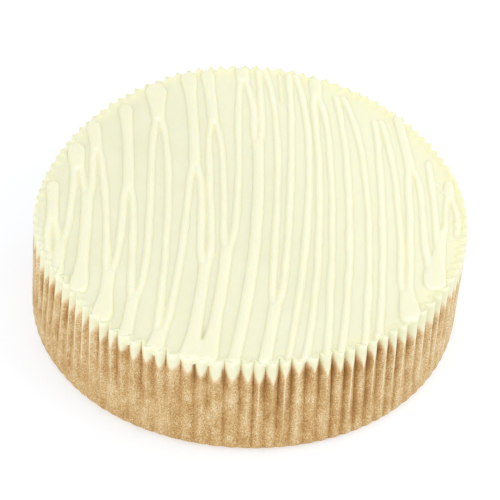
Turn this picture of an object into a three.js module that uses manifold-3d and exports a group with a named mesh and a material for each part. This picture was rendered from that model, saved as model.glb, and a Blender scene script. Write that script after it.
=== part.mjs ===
// A round white mud cake in its fluted paper baking case, iced to the rim, with lines of icing piped
// to and fro across the top. Millimetres, +Z up, standing on z = 0.

import * as THREE from 'three';
import Module from 'manifold-3d';
import { mergeVertices } from 'three/addons/utils/BufferGeometryUtils.js';

// Driving dimensions
const RIM_RADIUS = 90;             // to the ridges of the flutes, at the rim
const BASE_RADIUS = 91.3;          // to the ridges, just above the rounded foot
const CASE_HEIGHT = 52;
const FOOT_ROUND = 5;              // radius of the rounded foot
const PAPER = 0.6;                 // wall, measured along the radius
const GAP = 0.3;                   // clearance between touching pieces
const FLANK_GAP = 0.5;             // the same clearance along the radius, across a sloping flank
const FLUTES = 106;
const FLUTE_DEPTH_RIM = 2.6;
const FLUTE_DEPTH_BASE = 0.35;
const UNEVEN_WIDTH = 0.17;         // how far a flute's width strays, as a share of it
const UNEVEN_DEPTH = 0.2;
const UNEVEN_CREST = 0.08;
const WIDE_TURN = -106;            // where the flutes are widest, in degrees from +X
const PRESSED_TURN = -60;          // where the flutes are pressed deepest
const ICING_BOTTOM = 46;
const ICING_TOP = 50.8;
const ICING_EDGE = 1.2;            // bevel of the icing's top edge
const LINE_WIDTH = 2.8;            // one piped line
const LINE_HEIGHT = 1.5;
const BLOB_HEIGHT = 2.2;           // where the line turns back and piles up
const SWING = 600;                 // radius of the arcs that the piping hand swings through
const LINE_STEP = 22;              // length of one facet along a line
const PILE_STEP = 18;
const BLUNT = 0.15;                // how blunt a pile's tip is: its width there, squared

// Lobes that put the outline out of round: how many, how deep as a share of the radius, and where
// the first one points, in degrees from +X.
const RIM_LOBES = [
  { count: 2, depth: 0.004, turn: 67 },
  { count: 3, depth: 0.0215, turn: 97 },
  { count: 4, depth: 0.004, turn: 26 },
];
const BASE_LOBES = [
  { count: 1, depth: 0.007, turn: 180 },
  { count: 2, depth: 0.006, turn: 36 },
  { count: 3, depth: 0.015, turn: 81 },
];
const DENT = 4.6;                  // how far the rim is pushed in at the left
const DENT_TURN = -145;
const DENT_SPREAD = 17;

// The piped lines. Each row is one turn of the nozzle: where it turns (x, y), how wide the icing
// piles up there, where the two lines that leave the turn part (x, y), and how far the next swing bows
// towards +X at a quarter and at three quarters of its way. A turn with no pile is a loose end, and
// its lines part where they turn.
const LINES = {
  piped_line_1: [
    [
      [-82.5, -41.5, 3, -82.5, -41.5, 0.2, 0.2],
      [-83, 8, 5, -80.5, -18.5, 0, 0],
      [-77.8, -46.5, 4.5, -76.5, -20.5, 0.5, 0.5],
      [-75.5, 31, 7.5, -73, 14, 0, 0],
      [-66.5, -50, 7.2, -68.5, 9, 0, 0],
      [-69.5, 47, 6, -66, 26, 0.5, 0.8],
      [-56, -65, 8.2, -55, -35.5, 0.5, 0.5],
      [-56.5, 59, 6, -51, 3, 0.3, 0.3],
      [-46.5, -77.5, 5.5, -44, -49.5, 1.4, 0.1],
      [-44, 72.5, 9.5, -41, 47.5, 2.5, 1.8],
      [-34.3, -82, 7, -32, -67, 0.9, 0.9],
      [-30, 82.5, 7, -24, 19, 0.7, 0.2],
      [-21, -85, 8, -17, -30, 0.3, -0.3],
      [-21.5, 85, 6, -17, 48, 1.1, 0.9],
      [-14, -85.5, 8, -8.5, -19, 1.3, 0.4],
      [-6, 88.5, 6, -5, 78, 1, 1],
      [-4, -87, 5, 2, 46, 0.4, 0.4],
      [2.5, 91, 4, 2.5, 90, 4.3, 2.4],
      [7.8, -86.5, 5, 12, -50.5, 1.9, 1.9],
      [16.5, 88.5, 4, 16.5, 87.5, 6.5, 4.7],
      [16.5, -86, 3, 16.5, -86, 0, 0],
    ],
  ],
  piped_line_2: [
    [
      [22.9, -86.6, 3, 22.9, -86.6, 3.6, 3.5],
      [27, 83.5, 5, 28, 68, 3.3, 2.3],
      [31.4, -84, 3, 31.4, -84, 0, 0],
    ],
  ],
  piped_line_3: [
    [
      [36.7, -81.8, 3, 36.7, -81.8, 3.9, 4.2],
      [37.5, 76, 4, 37.5, 74, 6.3, 4.4],
      [46, -77.3, 3, 46, -77.3, 0, 0],
    ],
  ],
  piped_line_4: [
    [
      [51.3, -74.3, 3, 51.3, -74.3, 2.3, 2.3],
      [54.5, 60, 4, 54.5, 58, 2.7, 2.3],
      [64.5, -59, 8.5, 63, -40.5, 0.5, 0.5],
      [63.5, 59, 4, 68.5, 22.5, 0.6, -0.4],
      [75, -40, 9, 74.8, -27, 0.6, 0.6],
      [75.5, 34, 3, 75.5, 34, 0, 0],
    ],
    [
      [76, -34, 4, 78, -14, 0.4, 0.4],
      [83.6, 18, 4, 83.6, 4, 1, 1],
      [84.5, -14, 3, 84.5, -14, 0, 0],
    ],
  ],
  piped_line_5: [
    [
      [10.8, 89, 3, 10.8, 89, 0, 0],
      [12.7, 66, 3, 12.7, 66, 0, 0],
    ],
  ],
};

const wasm = await Module();
wasm.setup();

// A repeatable uneven number from -1 to 1 for flute `index`.
function uneven(index, kind) {
  const wave = Math.sin(index * 12.9898 + kind * 78.233) * 43758.5453;
  return 2 * (wave - Math.floor(wave)) - 1;
}

// 1 at one turn of the case, fading to 0 within about two spreads of it, in degrees.
function around(angle, turn, spread) {
  const away = THREE.MathUtils.euclideanModulo(THREE.MathUtils.radToDeg(angle) - turn + 180, 360) - 180;
  return Math.exp(-((away / spread) ** 2));
}

// How deep the flutes are pressed at an angle and at a level from 0 to 1, as a share of their depth.
function pressed(angle, level) {
  const facing = Math.cos(angle - THREE.MathUtils.degToRad(PRESSED_TURN));
  const shallow = 0.35 * around(angle, -104, 9) + 0.5 * around(angle, -8, 24) * (1 - level);
  return 0.78 + 0.3 * facing + 0.4 * around(angle, 118, 34) - shallow;
}

// Two columns for each flute, a valley and then a ridge: the angle of each, and its flute's depth.
function fluteColumns() {
  const wider = (i) => 0.13 * around((2 * Math.PI * i) / FLUTES, WIDE_TURN, 16);
  const widths = Array.from({ length: FLUTES }, (_, i) => 1 + UNEVEN_WIDTH * uneven(i, 1) + wider(i));
  const whole = widths.reduce((sum, width) => sum + width, 0);
  const columns = [];
  let start = 0;
  widths.forEach((width, i) => {
    const crest = start + width * (0.5 + UNEVEN_CREST * uneven(i, 2));
    columns.push({ angle: (2 * Math.PI * start) / whole, valley: 1 + UNEVEN_DEPTH * uneven(i, 3) });
    columns.push({ angle: (2 * Math.PI * crest) / whole, valley: 0 });
    start += width;
  });
  return columns;
}

const COLUMNS = fluteColumns();

function lobed(lobes, angle) {
  const turned = ({ count, turn }) => Math.cos(count * (angle - THREE.MathUtils.degToRad(turn)));
  return lobes.reduce((sum, lobe) => sum + lobe.depth * turned(lobe), 1);
}

// The rim's radius to its ridges.
function rimOutline(angle) {
  return RIM_RADIUS * lobed(RIM_LOBES, angle) - DENT * around(angle, DENT_TURN, DENT_SPREAD);
}

// Radius of the case's outer face for a column at height z.
function wallRadius(column, z) {
  const level = z / CASE_HEIGHT;
  const base = BASE_RADIUS * lobed(BASE_LOBES, column.angle);
  const rim = rimOutline(column.angle);
  const depth = THREE.MathUtils.lerp(FLUTE_DEPTH_BASE, FLUTE_DEPTH_RIM, level ** 1.3);
  return THREE.MathUtils.lerp(base, rim, level) - depth * column.valley * pressed(column.angle, level);
}

// A solid turned from rings. Each ring is how far inside the case's outer face it lies and its
// height; the first and last rings are points on the axis.
function flutedSolid(rings) {
  const profile = rings.map(({ inset, z }) => new THREE.Vector2(inset === null ? 0 : RIM_RADIUS - inset, z));
  const geometry = new THREE.LatheGeometry(profile, COLUMNS.length);
  const position = geometry.getAttribute('position');
  for (let i = 0; i <= COLUMNS.length; i += 1) {
    const column = COLUMNS[i % COLUMNS.length];
    rings.forEach(({ inset, z }, j) => {
      const radius = inset === null ? 0 : wallRadius(column, z) - inset;
      const x = radius * Math.cos(column.angle);
      const y = radius * Math.sin(column.angle);
      position.setXYZ(i * rings.length + j, x, y, z);
    });
  }
  return geometry;
}

// A solid shaped like the case, its side `inset` inside the case's outer face.
function filling(inset, bottom, top) {
  return flutedSolid([
    { inset: null, z: bottom },
    { inset: FOOT_ROUND + inset - PAPER, z: bottom },
    { inset, z: FOOT_ROUND + bottom - PAPER },
    { inset, z: top },
    { inset: null, z: top },
  ]);
}

// The case's outer form, hollowed out and left open at the top.
function paperCase() {
  const quarter = FOOT_ROUND * (1 - Math.SQRT1_2);
  const outside = flutedSolid([
    { inset: null, z: 0 },
    { inset: FOOT_ROUND, z: 0 },
    { inset: quarter, z: quarter },
    { inset: 0, z: FOOT_ROUND },
    { inset: 0, z: CASE_HEIGHT },
    { inset: null, z: CASE_HEIGHT },
  ]);
  const inside = filling(PAPER, PAPER, CASE_HEIGHT + PAPER);
  return toGeometry(solid(outside).subtract(solid(inside)));
}

function sponge() {
  return filling(PAPER + FLANK_GAP, PAPER + GAP, ICING_BOTTOM - GAP);
}

function icing() {
  const inset = PAPER + FLANK_GAP;
  return flutedSolid([
    { inset: null, z: ICING_BOTTOM },
    { inset, z: ICING_BOTTOM },
    { inset, z: ICING_TOP - ICING_EDGE },
    { inset: inset + ICING_EDGE, z: ICING_TOP },
    { inset: null, z: ICING_TOP },
  ]);
}

// Draws a point in, where needed, so that icing `width` wide there stays inside the case.
function keepInside(point, width) {
  const angle = Math.atan2(point.y, point.x);
  const deepest = FLUTE_DEPTH_RIM * (1 + UNEVEN_DEPTH) * pressed(angle, 1);
  const rim = rimOutline(angle) - deepest;
  return point.clone().clampLength(0, rim - PAPER - FLANK_GAP - width / 2);
}

// A flat-bottomed ridge of icing along a curve, its width and height set by functions of t.
function ridge(curve, steps, widthAt, heightAt) {
  const geometry = new THREE.CylinderGeometry(1, 1, 1, 5, steps);
  const position = geometry.getAttribute('position');
  for (let i = 0; i < position.count; i += 1) {
    const t = position.getY(i) + 0.5;
    const side = position.getX(i) * widthAt(t) * 0.5;
    const rise = Math.max(position.getZ(i), 0) * heightAt(t);
    const place = curve.getPoint(t);
    const along = curve.getTangent(t);
    const z = ICING_TOP + GAP + rise;
    position.setXYZ(i, place.x + along.y * side, place.y - along.x * side, z);
  }
  return geometry;
}

// The way of the nozzle from one turn to the next, through its two bows towards +X.
class Swing extends THREE.Curve {
  constructor(from, to, bows) {
    super();
    this.from = from;
    this.to = to;
    this.bows = bows;
  }

  getPoint(t) {
    const bow = THREE.MathUtils.lerp(this.bows[0], this.bows[1], 2 * t - 0.5);
    const point = this.from.clone().lerp(this.to, t);
    return point.setX(point.x + (bow * 4 * t * (1 - t)) / 0.75);
  }
}

function sweptLine(from, to, bows) {
  const steps = Math.max(2, Math.round(from.distanceTo(to) / LINE_STEP));
  return ridge(new Swing(from, to, bows), steps, () => LINE_WIDTH, () => LINE_HEIGHT);
}

// The pile of icing from a turn to where its two lines part, blunt at the turn.
function pile(turn) {
  const blunt = (t) => Math.sqrt(Math.min(1, BLUNT + 4 * t));
  const width = (t) => THREE.MathUtils.lerp(turn.width, LINE_WIDTH * 1.5, t) * blunt(t);
  const height = (t) => THREE.MathUtils.lerp(BLOB_HEIGHT, LINE_HEIGHT, t);
  const length = turn.tip.distanceTo(turn.parting);
  const bow = (0.75 * length ** 2) / (8 * SWING);
  const steps = Math.max(3, Math.round(length / PILE_STEP));
  return ridge(new Swing(turn.tip, turn.parting, [bow, bow]), steps, width, height);
}

function readTurn([x, y, width, partX, partY, ...bows]) {
  const tip = keepInside(new THREE.Vector2(x, y), width);
  const parting = keepInside(new THREE.Vector2(partX, partY), LINE_WIDTH);
  return { tip, parting, width, bows, piled: parting.distanceTo(tip) > LINE_WIDTH };
}

function solid(geometry) {
  geometry.deleteAttribute('normal');
  geometry.deleteAttribute('uv');
  const merged = mergeVertices(geometry);
  return new wasm.Manifold(new wasm.Mesh({
    numProp: 3,
    vertProperties: new Float32Array(merged.getAttribute('position').array),
    triVerts: new Uint32Array(merged.getIndex().array),
  }));
}

function toGeometry(manifold) {
  const mesh = manifold.getMesh();
  const geometry = new THREE.BufferGeometry();
  geometry.setAttribute('position', new THREE.BufferAttribute(mesh.vertProperties, 3));
  geometry.setIndex(new THREE.BufferAttribute(mesh.triVerts, 1));
  return geometry;
}

// All the lines and piles of one run of piping, joined.
function pipedRun(paths) {
  const pieces = [];
  paths.forEach((rows) => {
    const turns = rows.map(readTurn);
    turns.filter((turn) => turn.piled).forEach((turn) => pieces.push(pile(turn)));
    turns.slice(1).forEach((turn, i) => {
      pieces.push(sweptLine(turns[i].parting, turn.parting, turns[i].bows));
    });
  });
  const joined = pieces.map(solid).reduce((whole, piece) => whole.add(piece));
  return toGeometry(joined);
}

const kraft = new THREE.MeshStandardMaterial({ color: '#d2b482', roughness: 0.75, metalness: 0 });
const crumb = new THREE.MeshStandardMaterial({ color: '#c39a60', roughness: 0.9, metalness: 0 });
const ivory = new THREE.MeshStandardMaterial({ color: '#f3f3d6', roughness: 0.45, metalness: 0 });
const cream = new THREE.MeshStandardMaterial({ color: '#fcfddf', roughness: 0.4, metalness: 0 });

function piece(name, geometry, material) {
  const mesh = new THREE.Mesh(geometry, material);
  mesh.name = name;
  return mesh;
}

const cake = new THREE.Group();
cake.add(piece('paper_case', paperCase(), kraft));
cake.add(piece('cake', sponge(), crumb));
cake.add(piece('icing', icing(), ivory));
Object.entries(LINES).forEach(([name, paths]) => cake.add(piece(name, pipedRun(paths), cream)));

// The lobes put the box off centre, so the whole is moved to stand with its box centred on the axis.
const centre = new THREE.Box3().setFromObject(cake).getCenter(new THREE.Vector3());
cake.position.set(-centre.x, -centre.y, 0);

export default cake;
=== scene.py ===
# %% [markdown]
# # A white mud cake in its paper case
#
# The real thing is a dense round cake, baked in a case of fluted greaseproof paper, flooded to the
# rim with white chocolate icing, and then piped with one long line of icing that runs to and fro
# across the top. This lesson builds the looks of each of those around a plain model that already has
# the right sizes. It starts by loading that model.

# %% Load the plain model
import math

import bpy
import numpy as np
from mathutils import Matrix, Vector


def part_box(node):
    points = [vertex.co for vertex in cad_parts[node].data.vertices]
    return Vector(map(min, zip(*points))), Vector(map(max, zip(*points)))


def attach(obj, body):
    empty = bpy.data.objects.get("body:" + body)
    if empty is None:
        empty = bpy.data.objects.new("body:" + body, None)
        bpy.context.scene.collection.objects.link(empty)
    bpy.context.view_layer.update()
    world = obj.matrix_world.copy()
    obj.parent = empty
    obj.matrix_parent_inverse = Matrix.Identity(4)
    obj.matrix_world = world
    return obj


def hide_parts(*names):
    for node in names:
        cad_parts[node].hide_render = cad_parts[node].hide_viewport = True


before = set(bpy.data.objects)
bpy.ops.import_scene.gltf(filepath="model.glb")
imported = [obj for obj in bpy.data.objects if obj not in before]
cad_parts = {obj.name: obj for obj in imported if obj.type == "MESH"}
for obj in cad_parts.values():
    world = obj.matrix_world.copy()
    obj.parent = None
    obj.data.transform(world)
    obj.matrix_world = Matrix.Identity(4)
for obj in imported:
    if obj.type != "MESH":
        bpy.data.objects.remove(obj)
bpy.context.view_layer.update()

MM = 0.001
case_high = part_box("paper_case")[1]
icing_low, icing_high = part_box("icing")
CASE_HEIGHT = case_high.z / MM
ICING_TOP = icing_high.z / MM
ICING_BOTTOM = icing_low.z / MM
print(f"case {CASE_HEIGHT:.1f} mm high, icing from {ICING_BOTTOM:.1f} to {ICING_TOP:.1f} mm")

# %% [markdown]
# ## Small tools
#
# Every operator works on what is selected, so each piece starts with nothing selected. Shaping by
# formula reads all the points of a mesh at once, moves them and writes them back, which is what a
# sculptor's brush does by hand. Inside the lesson everything is in millimetres; a mesh is brought to
# metres when it is finished.


# %% Selection and points
def deselect_all():
    if bpy.context.mode != "OBJECT":
        bpy.ops.object.mode_set(mode="OBJECT")
    bpy.ops.object.select_all(action="DESELECT")


def select_only(piece):
    deselect_all()
    piece.select_set(True)
    bpy.context.view_layer.objects.active = piece


def read_points(piece):
    points = np.empty(len(piece.data.vertices) * 3)
    piece.data.vertices.foreach_get("co", points)
    return points.reshape(-1, 3)


def write_points(piece, points):
    piece.data.vertices.foreach_set("co", np.ascontiguousarray(points).ravel())
    piece.data.update()


def store(piece, name, values):
    """Keeps one number at each point of a piece, for its material to read."""
    attribute = piece.data.attributes.new(name, "FLOAT", "POINT")
    attribute.data.foreach_set("value", np.asarray(values, np.float32))


print("points can be read, moved and kept")

# %% [markdown]
# ## Unevenness
#
# Nothing baked is even, but random draws would change all that follows whenever one is added. So a
# formula gives each flute, turn and tongue its own number from -1 to 1, always the same one, and a
# second formula lets such numbers flow into each other along a line.


# %% Uneven numbers
def smooth_step(low, high, value):
    share = np.clip((value - low) / (high - low), 0, 1)
    return share * share * (3 - 2 * share)


def uneven(index, kind):
    """A repeatable uneven number from -1 to 1 for each index."""
    wave = np.sin(index * 12.9898 + kind * 78.233) * 43758.5453
    return 2 * (wave - np.floor(wave)) - 1


def drift(place, kind):
    """The same, but flowing smoothly from one whole number to the next."""
    step = np.floor(place)
    here = uneven(step, kind)
    return here + (uneven(step + 1, kind) - here) * smooth_step(0, 1, place - step)


print("uneven numbers for the first three flutes:", uneven(np.arange(3), 1).round(2))

# %% [markdown]
# ## The flutes
#
# The paper is folded into flutes all round, and a baker's case is never quite round or even: each
# flute has its own width and depth, the whole outline has shallow lobes, and the rim is pushed in a
# little at the left. A radial array would make the flutes all alike. So the outline is a formula, and
# every ring of every piece, paper, cake and icing, follows it: that is what makes them fit into each
# other. A turn is an angle in degrees from +X, so the near side is at -90.

# %% The size and spacing of the flutes
RIM_RADIUS = 90
BASE_RADIUS = 91.3
FOOT_ROUND = 5
FLUTES = 106
COLUMNS = 10
FLUTE_DEPTH_RIM = 2.6
FLUTE_DEPTH_BASE = 0.35
PAPER = 0.32
PRESSED_TURN = -60
SLACK_TURN = -104
WIDE_TURN = -106


def around(angle, turn, spread):
    """1 at one turn of the case, fading to 0 within about two spreads of it, in degrees."""
    away = np.mod(np.degrees(angle) - turn + 180, 360) - 180
    return np.exp(-((away / spread) ** 2))


flute = np.arange(FLUTES)
flute_width = 1 + 0.17 * uneven(flute, 1) + 0.13 * around(2 * np.pi * flute / FLUTES, WIDE_TURN, 16)
flute_start = 2 * np.pi * (np.cumsum(flute_width) - flute_width) / flute_width.sum()
flute_width *= 2 * np.pi / flute_width.sum()
flute_crest = 0.5 + 0.08 * uneven(flute, 2)
flute_depth = 1 + 0.2 * uneven(flute, 3)
facing_front = np.cos(flute_start + np.pi / 2)
slack = around(flute_start, SLACK_TURN, 9)
flute_round = 0.45 + 0.3 * facing_front + 0.15 * uneven(flute, 4) + 0.3 * slack
widths = np.degrees(flute_width)
print(f"{FLUTES} flutes, {widths.min():.1f} to {widths.max():.1f} degrees wide")

# %% The outline of the case
RIM_LOBES = [(2, 0.004, 67), (3, 0.0215, 97), (4, 0.004, 26)]
BASE_LOBES = [(1, 0.007, 180), (2, 0.006, 36), (3, 0.015, 81)]
DENT_TURN = -145
DENT_SPREAD = 17
DENT = 4.6


def lobed(lobes, angle):
    return 1 + sum(depth * np.cos(count * (angle - math.radians(turn))) for count, depth, turn in lobes)


def rim_outline(angle):
    """The rim's radius to its crests: lobed, and pushed in at the left."""
    return RIM_RADIUS * lobed(RIM_LOBES, angle) - DENT * around(angle, DENT_TURN, DENT_SPREAD)


print(f"the rim lies {rim_outline(0):.1f} mm from the middle at the right")

# %% [markdown]
# ## The folds
#
# At the rim the paper is folded sharply, and low down it is pressed round and nearly flat against
# the cake. So a valley is measured back from the outline, deep at the rim and shallow at the foot.


# %% The folds of the paper
def fluted(even_angle):
    """Where a point of an evenly divided ring lies: its true angle, its flute, its share of the way
    across that flute, and how deep the valley beside it is."""
    place = np.mod(even_angle / (2 * np.pi) * FLUTES + 1e-6, FLUTES)
    number = place.astype(int)
    across = place - number
    crest = flute_crest[number]
    share = np.where(across < 0.5, 2 * across * crest, crest + (2 * across - 1) * (1 - crest))
    angle = flute_start[number] + flute_width[number] * share
    valley = np.where(across < 0.5, flute_depth[number], flute_depth[(number + 1) % FLUTES])
    return angle, number, across, valley


def crest_height(number, across, level):
    """0 in the valley between flutes and 1 along a crest: a fold, rounder low down than at the rim."""
    fold = 1 - np.abs(2 * across - 1)
    wave = np.sin(np.pi * across)
    soft = np.clip(flute_round[number] + 0.3 * (1 - level), 0, 1)
    return fold + (wave - fold) * soft


def hollow(even_angle, z):
    """How many millimetres the paper lies behind its outline: 0 along a crest."""
    angle, number, across, valley = fluted(even_angle)
    level = z / CASE_HEIGHT
    pressed = 0.78 + 0.3 * np.cos(angle - math.radians(PRESSED_TURN)) + 0.4 * around(angle, 118, 34)
    pressed -= 0.35 * around(angle, SLACK_TURN, 9) + 0.5 * around(angle, -8, 24) * (1 - level)
    patchy = 1 + 0.35 * drift(z / 9 + 7.3 * number, 5) * (1 - level)
    depth = FLUTE_DEPTH_BASE + (FLUTE_DEPTH_RIM - FLUTE_DEPTH_BASE) * level**1.3
    return depth * valley * pressed * patchy * (1 - crest_height(number, across, level))


ring = np.linspace(0, 2 * np.pi, FLUTES * COLUMNS, endpoint=False)
print(f"the deepest valley at the rim is {hollow(ring, CASE_HEIGHT).max():.1f} mm deep")


# %% The wall of the case
def wall(even_angle, z, inset=0, fading=1):
    """x and y on the wall of the case at height z, `inset` inside it, its flutes faded by `fading`."""
    angle = fluted(even_angle)[0]
    level = z / CASE_HEIGHT
    base = BASE_RADIUS * lobed(BASE_LOBES, angle)
    rim = rim_outline(angle)
    radius = base + (rim - base) * level - hollow(even_angle, z) * fading - inset
    return radius * np.cos(angle), radius * np.sin(angle)


outline = np.array([wall(ring, z) for z in np.linspace(FOOT_ROUND, CASE_HEIGHT, 12)])
CENTRE = (outline.min(axis=(0, 2)) + outline.max(axis=(0, 2))) / 2
print(f"the outline's box is centred on {CENTRE.round(2)} mm")

# %% [markdown]
# ## The paper case
#
# A paper case starts as a flat disc that a press folds up into a cup. Here a ring is laid at the
# edge of the floor and extruded upwards, ring by ring, close together near the rim where the most
# shows. The floor is filled in, and then each point is moved to its place on the fluted outline. Its
# thickness comes last and goes inwards, so that the outside stays where the plain model has it.


# %% A drum of rings
def select_ring(height):
    """Goes to edit mode with only the edges selected that lie at one height."""
    bpy.ops.object.mode_set(mode="OBJECT")
    mesh = bpy.context.object.data
    for part in (mesh.vertices, mesh.edges, mesh.polygons):
        part.foreach_set("select", np.zeros(len(part), bool))
    heights = read_points(bpy.context.object)[:, 2]
    mesh.vertices.foreach_set("select", np.abs(heights - height) < 1e-4)
    bpy.ops.object.mode_set(mode="EDIT")
    bpy.ops.mesh.select_mode(type="VERT")


def raise_rings(name, heights, radius):
    """An open drum of rings, one at each height, with its floor filled in."""
    deselect_all()
    bpy.ops.mesh.primitive_circle_add(
        vertices=FLUTES * COLUMNS, radius=radius, fill_type="NOTHING", location=(0, 0, heights[0])
    )
    bpy.ops.object.transform_apply(location=True, rotation=True, scale=True)
    piece = bpy.context.object
    piece.name = name
    bpy.ops.object.mode_set(mode="EDIT")
    bpy.ops.mesh.select_all(action="SELECT")
    for low, high in zip(heights, heights[1:]):
        bpy.ops.mesh.extrude_region_move(TRANSFORM_OT_translate={"value": (0, 0, high - low)})
    select_ring(heights[0])
    bpy.ops.mesh.edge_face_add()
    bpy.ops.object.mode_set(mode="OBJECT")
    return piece


def even_angles(points):
    return np.mod(np.arctan2(points[:, 1], points[:, 0]), 2 * np.pi)


print(FLUTES * COLUMNS, "points in each ring")


# %% Raise the paper wall
def foot_inset(z, foot):
    """How far the rounded foot draws the wall in at height z."""
    below = np.clip(foot - z, 0, foot)
    return foot - np.sqrt(foot**2 - below**2)


foot_heights = [FOOT_ROUND * (1 - math.cos(math.radians(a))) for a in (0, 18, 36, 54, 72, 90)]
wall_heights = list(np.arange(8, 40.5, 3.2)) + list(np.arange(40.5, CASE_HEIGHT, 0.6)) + [CASE_HEIGHT]
paper = raise_rings("fluted_paper_case", foot_heights + wall_heights, RIM_RADIUS)
points = read_points(paper)
angles = even_angles(points)
heights = points[:, 2].copy()
points[:, 0], points[:, 1] = wall(angles, heights, inset=foot_inset(heights, FOOT_ROUND))
print(f"paper wall of {len(points)} points")

# %% [markdown]
# ## Icing behind the paper
#
# Icing has run down inside the outer fold of each flute before it set, and the paper is thin enough
# to show it: an ivory tongue hangs from the rim in every flute, mostly pointed, but blunt where the
# flutes are wide. Between the tongues the brown cake shows through. How far the icing ran differs
# from side to side, which a list gives as turns, spreads and lengths. This is colour, not shape, so
# each point keeps how far inside the icing's edge it lies, and the paper's material reads it.

# %% Work out the tongues
FURTHER_DOWN = [
    (-161, 7, 2.2), (-145, 17, 2.4), (-117, 10, -2.9), (-104, 4, -1.0), (-86, 5, 2.4),
    (-74, 5, -1.9), (-62, 5, 0.8), (-50, 5, -1.5), (-38, 9, 3.0),
]
TONGUE_LENGTH = 10.6
VALLEY_LENGTH = 5.0

true_angle, number, across, _ = fluted(angles)
level = heights / CASE_HEIGHT
fold = 1 - np.abs(2 * across - 1)
below_rim = CASE_HEIGHT - heights
bold = around(flute_start, -66, 28)
blunt = np.clip(1.5 * around(flute_start, WIDE_TURN - 2, 18), 0, 1)
smooth_side = around(flute_start, -132, 26)
long_side = around(flute_start, -12, 14)
further = sum(change * around(flute_start, turn, spread) for turn, spread, change in FURTHER_DOWN)

tongue_length = TONGUE_LENGTH + 1.3 * uneven(flute, 6) + 1.8 * (uneven(flute, 7) > 0.75)
tongue_length += 3.5 * long_side + 0.8 * further
valley_length = VALLEY_LENGTH + 1.3 * uneven(flute, 11) + 2.8 * around(flute_start, -36, 26)
valley_length += 4.5 * long_side - 0.8 * bold - 1.8 * blunt + 1.15 * further
valley_length = np.maximum(valley_length, 0.8)
print(f"tongues from {tongue_length.min():.1f} to {tongue_length.max():.1f} mm long")

# %% The edge of each tongue
tongue_power = 1.2 + 0.4 * uneven(flute, 8) * (1 - 0.7 * blunt)
tongue_power = np.maximum(tongue_power + (-0.8 + 0.15 * uneven(flute, 18)) * blunt, 0.3)
pointed = np.clip(0.7 + 0.25 * uneven(flute, 17) - 0.8 * blunt, 0, 1)
swollen = np.sin(fold * np.pi / 2) ** tongue_power[number]
spike = 1 - np.sqrt(1 - 0.985 * fold**2)
reach = swollen + (spike - swollen) * pointed[number]
reach = valley_length[number] + (tongue_length - valley_length)[number] * reach
edge_softness = 4.8 - 3.2 * fold
store(paper, "tongue", (reach - below_rim) / edge_softness)
# The top of the rim is brighter: partly icing coating the paper, partly a painted highlight.
rim_coat_and_highlight = 1 - smooth_step(0, 3.0 + 1.2 * blunt[number], below_rim)
store(paper, "rim_coat_highlight", rim_coat_and_highlight * (0.3 + 0.7 * fold))
print(f"{(reach > below_rim).sum()} of {len(reach)} points lie over a tongue")

# %% [markdown]
# ## Valleys, crests and slits
#
# Three more numbers are kept for the material. The shade is painted: strongest in the valleys,
# where the paper lies against the brown crumb and the folds shade each other, and just under the
# tongues. In the valleys it fades towards the foot, the whole wall is a little darker low down, and
# painted light makes the sides and the right paler. The crease is a thin pale line along each outer
# fold, partly paper standing off the crumb and partly a painted highlight. A few dark slits at the
# near side are gaps between its folds: a turn and the heights of both ends.

# %% Shade the valleys
valley_tone = 0.72 + 0.45 * uneven(flute, 15) + 0.26 * bold - 0.35 * slack - 0.3 * smooth_side
valley_tone -= 0.3 * around(flute_start, -15, 30)
falling = 0.14 + 0.52 * bold[number] + (0.86 - 0.52 * bold[number]) * smooth_step(0, 0.95, level)
shade = (1 - crest_height(number, across, level)) * falling
# A band of painted shade in the valleys just under the tongues.
shade += 0.28 * (1 - fold) * np.exp(-(((below_rim - reach - 4) / 4.5) ** 2))
shade *= valley_tone[number] * (1 + 0.45 * drift(heights / 10 + 5.1 * number, 16))
# The whole wall is a little darker towards the foot.
shade += 0.2 * (1 - smooth_step(0, 0.9, level)) + 0.07 * (1 - smooth_step(0, 0.3, level))
# Painted light: the sides and the right of the wall are paler, where more light falls, and the valley shade
# is weaker at the far right.
side = 1 - np.clip(facing_front, 0, 1)[number]
right = np.clip(np.cos(true_angle + 0.3), 0, 1) ** 2
far_right = around(true_angle, -6, 24)
shade = shade * (1 - 0.55 * far_right) - 0.2 * side - 0.2 * right
store(paper, "shade", shade)
print(f"shade from {shade.min():.2f} to {shade.max():.2f}")

# %% Draw the creases and the slits
SLITS = [(-95.3, 38, 49.5), (-94.3, 40.5, 48), (-102.5, 43.5, 53)]
SLIT_HALF = 0.18

# Each outer fold gets a thin pale line: partly paper standing off the crumb, partly a painted highlight.
on_crest = np.abs(across - 0.5) < 0.03
crease_paleness_and_highlight = 0.65 + 0.5 * uneven(number, 12) + 0.35 * drift(heights / 8 + 3.1 * number, 13)
crease_paleness_and_highlight += 0.4 * smooth_side[number] + 0.12 * bold[number]
crease_paleness_and_highlight *= (1 - 0.7 * blunt[number]) * (1 - 0.6 * far_right)
store(paper, "crease_paleness_and_highlight", on_crest * np.clip(crease_paleness_and_highlight, 0, 1) * smooth_step(-0.05, 0.65, level))

slit = np.zeros(len(heights))
for turn, low, high in SLITS:
    away = np.abs(np.degrees(true_angle) - 360 - turn)
    along = smooth_step(low, low + 3, heights) * (1 - smooth_step(high - 4, high, heights))
    slit += (away < SLIT_HALF) * along
store(paper, "slit", np.minimum(slit, 1))
print(f"{len(SLITS)} slits")

# %% [markdown]
# ## The edge of the paper
#
# The rim isn't level: it rises and falls slowly, and each outer fold stands a little higher. After
# that a Solidify modifier gives the sheet its thickness, and a second material to its inner side.


# %% Raise and lower the rim
def face_outwards(piece):
    select_only(piece)
    bpy.ops.object.mode_set(mode="EDIT")
    bpy.ops.mesh.select_all(action="SELECT")
    bpy.ops.mesh.normals_make_consistent(inside=False)
    bpy.ops.object.mode_set(mode="OBJECT")


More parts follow.
